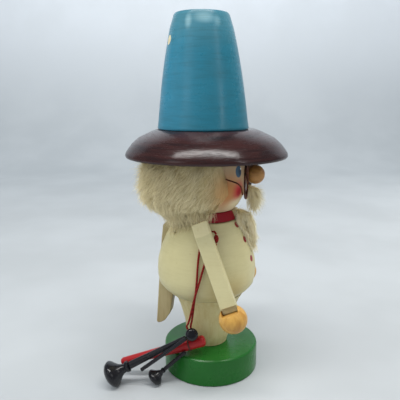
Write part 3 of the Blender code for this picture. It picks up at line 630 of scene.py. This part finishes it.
def make_hair(rng, made):
    """Matted fur: swept back under the brim, ragged behind, with a fringe over shoulder and collar."""
    roots, normal, near_face = hair_roots(rng)
    count = len(roots)
    out, turn = facing(roots, HEAD_Y)
    z = roots[:, 2] / MM
    high = fade(z, 152.0, 168.0)
    rear = fade(turn, 95.0, 145.0)
    under = fade(turn, 125.0, 150.0) * fade(z, 153.0, 143.0)
    wild = rng.random(count) < (0.06 + 0.34 * rear * high) * (1.0 - 0.8 * under)
    back = np.stack([np.sign(out[:, 0]) * -out[:, 1], np.abs(out[:, 0]), np.zeros(count)], 1)
    lift = 0.12 + 0.62 * rear * high + 0.5 * wild
    heading = combed(normal, lift[:, None], (0.18 + 0.3 * wild)[:, None], rng)
    swept = 0.15 + 0.75 * high * (1 - rear) + 0.2 * near_face
    heading = unit(heading + back * swept[:, None] + swirl(roots, 110.0) * 0.55)
    heading = unit(heading - out * (0.9 * under)[:, None])
    lengths = rng.uniform(7.0, 15.0, count) * (1.0 - 0.35 * near_face) * (1.0 - 0.45 * under)
    reach = rng.uniform(0.8, 2.0, count) * (1.0 - 0.6 * under) + rear * high * rng.uniform(2.0, 7.5, count)
    reach += wild * rng.uniform(1.5, 9.5, count) * (0.3 + 0.7 * rear * high)

    fringe = (z < 152.0) & (turn > 80.0) & (turn < 150.0) & (rng.random(count) < 0.8)
    fringe |= (z < 153.0) & (turn > 58.0) & (turn <= 80.0) & (rng.random(count) < (turn - 50.0) / 34.0)
    hug = fade(turn, 92.0, 110.0)       # behind the shoulder the fringe lies against the neck
    drop = np.array([0.0, 0.0, -1.0]) + out * (0.15 - hug)[:, None]
    drop = unit(drop + rng.normal(size=(count, 3)) * 0.2)
    heading = np.where(fringe[:, None], drop, heading)
    lengths = np.where(fringe, rng.uniform(7.0, 15.0, count) + 7.0 * hug * rng.random(count), lengths)
    reach = np.where(fringe, 14.0, reach)

    line = grow(roots - normal * HAIR_DEPTH, heading, lengths * MM, rng, sag=0.12, curl=0.24, tight=0.28)
    line = clear_of_body(hold("hair", line, reach * MM))
    return make_strands("hair_fur", line, normal, HAIR_WIDTH, rng, made)


CHEST = [(102.4, 42.7), (107.7, 41.4), (115.0, 39.2), (124.0, 35.6), (131.5, 31.5), (138.0, 27.4),
         (147.5, 26.6)]                 # heights and radii of the chest, the collar and the jaw
SLOT_HALF = 6.6 * MM


def chest_line(x, z):
    """How far forward the chest, the collar or the jaw reaches at a place beside the middle."""
    return TORSO_Y - np.sqrt(np.maximum(table(CHEST, z) ** 2 - np.square(x), 0.0))


def make_beard(rng, made):
    """A tuft on the jaw's front that fans out over the chest and thins out into wisps."""
    roots, normal = scatter("beard", BEARD_STRANDS, rng, TORSO_Y, -2.0)
    low = fade(roots[:, 2] / MM, 130.0, 118.0)
    keep = rng.random(len(roots)) > 0.72 * low
    roots, normal, low = roots[keep], normal[keep], low[keep]
    count = len(roots)
    inner = (rng.random(count) < 0.55) & (roots[:, 2] > 116.0 * MM)
    roots[:, 0] *= np.where(inner, rng.uniform(1.0, 1.7, count), 0.85)
    seat = chest_line(roots[:, 0], roots[:, 2]) - 0.4 * MM
    roots[:, 1] = np.where(inner, roots[:, 1] * 0.35 + 0.65 * seat, roots[:, 1])
    wild = rng.random(count) < 0.16
    heading = combed(normal, (0.16 + 0.5 * wild)[:, None], (0.22 + 0.3 * wild)[:, None], rng)
    heading += swirl(roots, 160.0) * 0.6
    heading[:, 0] += np.sign(roots[:, 0]) * 0.35 * inner
    heading = unit(heading)
    lengths = rng.uniform(4.0, 8.0, count) + 4.0 * low * rng.random(count)
    line = grow(roots - normal * BEARD_DEPTH, heading, lengths * MM, rng, sag=0.08, curl=0.22, tight=0.35)
    reach = rng.uniform(0.6, 1.8, count) + 2.6 * wild + 7.0 * low + 6.0 * inner
    line = hold("beard", line, reach * MM)
    into_slot = np.where(np.abs(line[..., 0]) > SLOT_HALF, -0.3 * MM, 1.2 * MM)
    line[..., 1] = np.minimum(line[..., 1], chest_line(line[..., 0], line[..., 2]) + into_slot)
    return make_strands("beard_fur", line, normal, BEARD_WIDTH, rng, made)


LIP_Y = HEAD_Y - 35.4 * MM              # no strand of the moustache goes farther back


def make_moustache(rng, made):
    """A light wisp under the nose that hangs past its own root in fine ends."""
    roots, normal = scatter("moustache", MOUSTACHE_STRANDS, rng, HEAD_Y, -2.0)
    count = len(roots)
    high = fade(roots[:, 2] / MM, 153.0, 165.0)
    wild = rng.random(count) < 0.5
    heading = combed(normal, (0.16 + 0.6 * wild)[:, None], (0.22 + 0.3 * wild)[:, None], rng)
    heading = unit(heading + swirl(roots, 200.0) * 0.6 + np.array([0.0, -0.25, 0.0]))
    lengths = rng.uniform(6.0, 12.0, count) + 4.0 * wild * rng.random(count)
    roots[:, 0] *= 1.0 - 0.7 * rng.uniform(0.0, 1.0, count)
    line = grow(roots - normal * MOUSTACHE_DEPTH, heading, lengths * MM, rng, sag=0.10, curl=0.28,
                tight=0.3)
    reach = rng.uniform(0.5, 2.6, count) + 4.6 * wild + 4.5 * (1 - high)
    line = hold("moustache", line, reach * MM)
    line[..., 1] = np.minimum(line[..., 1], LIP_Y)
    return make_strands("moustache_fur", line, normal, MOUSTACHE_WIDTH, rng, made)


def thin_hair(shape):
    """The hair's mass comes in where it stands out farthest."""
    for vertex in shape.verts:
        out = Vector((vertex.co.x, vertex.co.y - HEAD_Y, 0.0))
        vertex.co -= out.normalized() * min(2.0 * MM, max(0.0, out.length - 36.0 * MM) * 0.5)


def soften(shape):
    bmesh.ops.subdivide_edges(shape, edges=shape.edges, cuts=1, use_grid_fill=True)
    bmesh.ops.triangulate(shape, faces=shape.faces)
    for _ in range(5):
        bmesh.ops.smooth_vert(shape, verts=shape.verts, factor=0.5, use_axis_x=True, use_axis_y=True,
                              use_axis_z=True)


def thin_tuft(shape, width, height, depth, seat):
    """A tuft's mass gets narrower, shorter and flatter toward a seat behind it."""
    soften(shape)
    top = max(vertex.co.z for vertex in shape.verts)
    for vertex in shape.verts:
        at = vertex.co
        at.x *= width
        back, push = seat(at)
        at.y = back + push + (at.y - back) * depth
        at.z = top - (top - at.z) * height


def beard_seat(at):
    """The seat's place behind a point, and how far the mass is pushed back into it."""
    return float(chest_line(at.x, at.z)), 1.0 * MM


def moustache_seat(_):
    return HEAD_Y - 36.6 * MM, 0.0


def make_underfur(name, made):
    """The soft mass under the strands: the CAD solid with its skin rounded and drawn in."""
    mesh = NODES[name].data.copy()
    mesh.materials.clear()
    mesh.materials.append(made)
    piece = bpy.data.objects.new(name + "_mass", mesh)
    bpy.context.scene.collection.objects.link(piece)
    shape = bmesh.new()
    shape.from_mesh(mesh)
    bmesh.ops.remove_doubles(shape, verts=shape.verts, dist=0.02 * MM)
    if name == "hair":
        thin_hair(shape)
    elif name == "beard":
        thin_tuft(shape, width=0.8, height=0.55, depth=0.72, seat=beard_seat)
    else:
        thin_tuft(shape, width=0.3, height=0.35, depth=0.35, seat=moustache_seat)
    shape.to_mesh(mesh)
    shape.free()
    mesh.shade_smooth()
    return piece


def mass_material(name, light, dark):
    """The mass under the strands; skin glows through it next to the face."""
    made, tree, shader = material(name)
    point = node(tree, "ShaderNodeTexCoord").outputs["Object"]
    clump = noise(tree, stretched(tree, point, (600.0, 600.0, 160.0)), 1.0, 4.0, 0.65)
    base = mix(tree, ramp(tree, clump, 0.3, 0.7), dark, light)
    for centre, size in FACE_EDGE:
        mask = use(tree, DAB, Centre=centre, Size=size, Softness=FACE_EDGE_SOFTNESS)["Mask"]
        base = mix(tree, mask, base, (0.50, 0.29, 0.12))
    feed(tree, shader.inputs["Base Color"], base)
    feed(tree, shader.inputs["Normal"], bump(tree, clump, 0.0010, 0.7))
    shader.inputs["Roughness"].default_value = 0.95
    shader.inputs["Specular IOR Level"].default_value = 0.1
    return made


SEED = 7


def make_fur():
    seed_set(SEED)
    rng = np.random.default_rng(SEED)
    mass = mass_material("fur mass", (0.68, 0.58, 0.34), (0.46, 0.37, 0.19))
    light = mass_material("light fur mass", (0.84, 0.74, 0.46), (0.66, 0.54, 0.28))
    ivory = fur_material("ivory fur", (0.58, 0.48, 0.25), (0.84, 0.75, 0.49))
    pale = fur_material("pale fur", (0.80, 0.68, 0.36), (0.98, 0.92, 0.70))
    tufts = (("hair", make_hair, ivory, mass), ("beard", make_beard, pale, light),
             ("moustache", make_moustache, pale, light))
    for name, maker, strands, core in tufts:
        under = make_underfur(name, core)
        over = maker(rng, strands)
        for piece in (under, over):
            if name == "beard":
                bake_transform(piece)
            else:
                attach(piece, "figure")
        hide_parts(name)


# Paint and varnish

CREAM, WORN_CREAM = (0.585, 0.525, 0.280), (0.40, 0.30, 0.13)
BUTTON_R = 2.8
BUTTON_ROWS = [(19.6, 135.2, 28.9), (16.2, 122.9, 36.2), (13.7, 106.2, 41.8)]     # turn, height, radius
ARM_FOOT = Vector((-55.5, -26.0, 70.5)) * MM
ARM_UP = Vector((0.2126, 0.41, 1.0)).normalized()
ARM_LENGTH = 92.5 * MM


def dress_body():
    buttons = both_sides([(around(TORSO_Y, radius, turn, height), ball(BUTTON_R))
                          for turn, height, radius in BUTTON_ROWS])
    # a darker, browner patch low on each side of the belly
    low_belly_patch = both_sides([(around(TORSO_Y, 40.0, 52.0, 80.0), oval(18.0, 16.0, 14.0))])
    paint = painted("cream body paint", CREAM, WORN_CREAM, rough=0.42, wear=0.35,
                    dabs=[((0.57, 0.46, 0.20), 0.9, low_belly_patch), ((0.26, 0.006, 0.010), 0.12, buttons)])
    set_material(["torso", "pivot_pin"], paint)
    set_material(["trunk"], grained("cream stained trunk", (0.58, 0.51, 0.26), (0.50, 0.40, 0.17),
                                    scale=(300, 300, 12), rough=0.45))
    set_material(["collar"], painted("dark red collar paint", (0.25, 0.005, 0.012), (0.25, 0.04, 0.03),
                                     rough=0.5, wear=0.4, shine=0.2))


def dress_arms():
    """The sawn slope at an arm's top is painted a little lighter than its side: a painted highlight of the
    light from above.
    """
    top = ARM_FOOT + ARM_UP * ARM_LENGTH
    # painted highlight: the top slope of each arm is painted lighter, as if lit from above
    lit_arm_tops = both_sides([(tuple(top), ball(24.0))])
    paint = painted("cream arm paint", (0.535, 0.485, 0.270), WORN_CREAM, rough=0.45, wear=0.5,
                    dabs=[((0.63, 0.56, 0.32), 0.02, lit_arm_tops)])
    set_material(["right_arm", "left_arm"], paint)
    set_material(["right_hand", "left_hand"], grained("golden hand wood", (0.60, 0.34, 0.075),
                                                      (0.38, 0.17, 0.03), scale=(300, 120, 60), rough=0.32))


def dress_head():
    # a warmer, darker skin tone on the face's sides next to the hair, partly painted shade of the brim
    skin_and_brim_shade = both_sides([(around(HEAD_Y, 34.0, 47.0, 166.0), ball(13.0))])
    # painted light: the chin and lower face are painted lighter to lift the shade that falls there
    pale = both_sides([(around(HEAD_Y, 30.0, 24.0, 153.0), oval(9.0, 9.0, 6.0))])
    cheeks = both_sides([(around(HEAD_Y, 34.0, 29.5, 166.0), oval(5.4, 5.4, 6.6))])
    cores = both_sides([(around(HEAD_Y, 34.0, 27.0, 164.6), oval(2.9, 2.9, 3.6))])
    eyes = both_sides([(around(HEAD_Y, 34.5, 31.0, 182.0), oval(3.8, 3.8, 4.9))])
    pupils = both_sides([(around(HEAD_Y, 34.8, 28.0, 181.4), oval(1.9, 1.9, 3.0))])
    glints = [(around(HEAD_Y, 34.5, turn, 183.9), ball(0.9)) for turn in (25.5, -34.5)]
    paint = painted("face paint", (0.56, 0.40, 0.235), (0.45, 0.26, 0.13), rough=0.45, wear=0.3,
                    dabs=[((0.50, 0.20, 0.055), 0.7, skin_and_brim_shade),
                          ((0.80, 0.66, 0.42), 0.8, pale),
                          ((0.52, 0.018, 0.022), 0.75, cheeks),
                          ((0.38, 0.004, 0.012), 0.5, cores),
                          ((0.050, 0.115, 0.185), 0.12, eyes),
                          ((0.022, 0.055, 0.10), 0.4, pupils),
                          ((0.8, 0.85, 0.88), 0.2, glints)])
    set_material(["head"], paint)
    set_material(["nose"], grained("nose wood", (0.44, 0.22, 0.06), (0.24, 0.10, 0.03),
                                   scale=(300, 60, 300), rough=0.36))


def dress_hat():
    # painted light: a lighter blue band down the crown's right rear, standing in for the left window's
    # light
    left_window_light = ((0.034, 0.215, 0.325), 0.9, [((-0.026, 0.036, 0.240), oval(24.0, 26.0, 90.0))])
    # the crown's top is painted lighter: worn paint together with a painted highlight of the lamp above
    top_wear_and_sheen = ((0.060, 0.220, 0.290), 0.9, [((0.0, 0.0089, 0.304), oval(60.0, 60.0, 17.0))])
    # light scuffs on the crown's top edge, painted bright enough to stand also for the lamp's reflection
    # there
    scuffs_and_glare = ((0.22, 0.42, 0.49), 0.8, [((-0.0225, 0.0030, 0.3010), oval(4.0, 6.5, 3.6)),
                                        ((-0.0240, 0.0150, 0.2985), oval(3.0, 2.2, 5.0)),
                                        ((-0.0215, -0.0080, 0.3005), oval(3.0, 2.6, 4.4))])
    chip = ((0.72, 0.62, 0.36), 0.12, [((-0.0150, 0.0330, 0.2859), oval(3.6, 3.6, 3.8))])
    paint = painted("blue hat paint", (0.018, 0.165, 0.240), (0.10, 0.26, 0.32), rough=0.28, wear=0.25,
                    dabs=[left_window_light, top_wear_and_sheen, scuffs_and_glare, chip], rings=0.42)
    set_material(["hat_crown"], paint)
    set_material(["hat_brim"], grained("dark brown stain", (0.040, 0.013, 0.012), (0.012, 0.006, 0.007),
                                       scale=(30, 30, 380), rough=0.16))


def dress_base():
    set_material(["base_disc"], painted("green base paint", (0.010, 0.120, 0.014), (0.05, 0.18, 0.05),
                                        rough=0.26, wear=0.3, shine=0.3))


def dress_bagpipe():
    lacquer = painted("black lacquer", (0.008, 0.008, 0.011), (0.04, 0.036, 0.032), rough=0.22, wear=0.25)
    set_material(["pipe_hub", "bass_drone_tube", "bass_drone_bell", "blow_stick", "small_drone_tube",
                  "small_drone_bell"], lacquer)
    set_material(["bagpipe_bag"], painted("bright red paint", (0.36, 0.007, 0.010), (0.40, 0.06, 0.04),
                                          rough=0.4, wear=0.25))
    set_material(["bag_lashing"], painted("brown thread", (0.10, 0.04, 0.03), (0.2, 0.1, 0.06),
                                          rough=0.8, wear=0.5))


def dress_bare_wood():
    set_material(["jaw_lever"], grained("lever wood", (0.47, 0.39, 0.205), (0.36, 0.27, 0.12),
                                        scale=(300, 300, 24), rough=0.45))
    pegs = [name for name in NODES if "_dowel" in name]
    set_material(pegs, grained("peg wood", (0.55, 0.40, 0.22), (0.36, 0.24, 0.12),
                               scale=(500, 500, 60), rough=0.6))


def dress_spectacles():
    """Dark copper wire, tarnished in places."""
    made, tree, shader = material("dark copper wire")
    point = node(tree, "ShaderNodeTexCoord").outputs["Object"]
    tarnish = noise(tree, point, 260.0, 4.0, 0.7)
    tone = mix(tree, ramp(tree, tarnish, 0.35, 0.7), (0.035, 0.02, 0.02), (0.22, 0.07, 0.035))
    feed(tree, shader.inputs["Base Color"], tone)
    feed(tree, shader.inputs["Roughness"], ramp(tree, tarnish, 0.3, 0.7, 0.25, 0.5))
    feed(tree, shader.inputs["Normal"], bump(tree, tarnish, 0.0001, 0.5))
    shader.inputs["Metallic"].default_value = 0.85
    set_material([name for name in NODES if name.startswith("spectacle")], made)


# Studio

FLOOR_NEAR, FLOOR_FAR = -3.0, 1.1
WALL_BEND, WALL_TOP, HALF_WIDTH = 0.7, 2.4, 3.0
BEND_STEPS = 16


def make_floor():
    """A white table that curves up into the wall behind. Painted light: the wall, which the lamps light
    less, is painted far lighter than the table and lighter towards its top, so they look a little darker
    where they meet.
    """
    profile = [(FLOOR_NEAR, 0.0), (FLOOR_FAR, 0.0)]
    for i in range(1, BEND_STEPS + 1):
        a = math.pi / 2 * i / BEND_STEPS
        profile.append((FLOOR_FAR + WALL_BEND * math.sin(a), WALL_BEND * (1 - math.cos(a))))
    profile.append((FLOOR_FAR + WALL_BEND, WALL_TOP))
    verts, faces = [], []
    for reach, z in profile:
        for side in (-HALF_WIDTH, HALF_WIDTH):
            verts.append(tuple(LEVEL * reach + RIGHT * side + UP * z))
    for i in range(len(profile) - 1):
        faces.append((2 * i, 2 * i + 1, 2 * i + 3, 2 * i + 2))
    made, tree, shader = material("pale sweep")
    point = node(tree, "ShaderNodeTexCoord").outputs["Object"]
    cut = node(tree, "ShaderNodeSeparateXYZ")
    feed(tree, cut.inputs[0], point)
    # painted light: lighter with height up the wall, and a shade lighter along the table towards the wall
    wall = ramp(tree, cut.outputs["Z"], 0.0, 0.9)
    depth = ramp(tree, cut.outputs["X"], 0.0, 1.3)
    base = mix(tree, depth, (0.405, 0.425, 0.435), (0.42, 0.45, 0.47))
    base = mix(tree, wall, base, (0.86, 0.90, 0.95))
    cloud = ramp(tree, noise(tree, point, 5.0), 0.3, 0.7, 0.0, 0.25)
    feed(tree, shader.inputs["Base Color"], mix(tree, cloud, base, (0.60, 0.63, 0.65)))
    shader.inputs["Roughness"].default_value = 0.55
    mesh_object("floor", verts, faces, made)


def area_light(name, across, away, up, target, size, power, colour=(1.0, 1.0, 1.0), shine=True):
    """A rectangular lamp placed to the right of, beyond and above the figure as the camera sees it."""
    data = bpy.data.lights.new(name, "AREA")
    data.shape = "RECTANGLE"
    data.size, data.size_y = size
    data.energy = power
    data.color = colour
    lamp = bpy.data.objects.new(name, data)
    bpy.context.scene.collection.objects.link(lamp)
    lamp.visible_glossy = shine
    lamp.location = RIGHT * across + LEVEL * away + UP * up
    lamp.rotation_euler = (target - lamp.location).to_track_quat("-Z", "Y").to_euler()


def make_lamps():
    area_light("overhead", across=0.0, away=-0.35, up=1.4, target=UP * 0.1, size=(1.5, 0.16),
               power=15.0, colour=(1.0, 0.99, 0.97))
    area_light("left_window", across=-1.2, away=-0.1, up=0.8, target=UP * 0.2, size=(0.6, 0.9),
               power=6.5, colour=(0.93, 0.97, 1.0), shine=False)
    area_light("right_window", across=0.95, away=0.55, up=0.7, target=UP * 0.15, size=(0.5, 0.8),
               power=6.0, colour=(1.0, 0.98, 0.95), shine=False)
    area_light("wall_wash", across=0.0, away=0.9, up=1.5, target=LEVEL * 1.8 + UP * 1.3, size=(2.0, 0.4),
               power=9.0, colour=(0.95, 0.98, 1.0), shine=False)
    area_light("left_strip", across=-0.62, away=-0.62, up=0.55, target=UP * 0.22, size=(0.34, 0.5),
               power=0.6)
    area_light("right_strip", across=0.72, away=-0.62, up=0.60, target=UP * 0.22, size=(0.05, 0.6),
               power=0.7)


def make_world():
    """A pale room that lights the figure evenly and is dimmer in its own reflections."""
    world = bpy.data.worlds.new("studio")
    world.use_nodes = True
    tree = world.node_tree
    ground = tree.nodes["Background"]
    ground.inputs["Color"].default_value = (0.84, 0.89, 0.93, 1.0)
    path = node(tree, "ShaderNodeLightPath")
    feed(tree, ground.inputs["Strength"], ramp(tree, path.outputs["Is Glossy Ray"], 0.0, 1.0, 0.72, 0.20))
    bpy.context.scene.world = world
    bpy.context.scene.view_settings.view_transform = "Standard"
    bpy.context.scene.view_settings.look = "None"


make_camera()
make_cords()
smooth_nodes()
dress_body()
dress_arms()
dress_head()
dress_hat()
dress_base()
dress_bagpipe()
dress_bare_wood()
dress_spectacles()
make_fur()
make_floor()
make_lamps()
make_world()
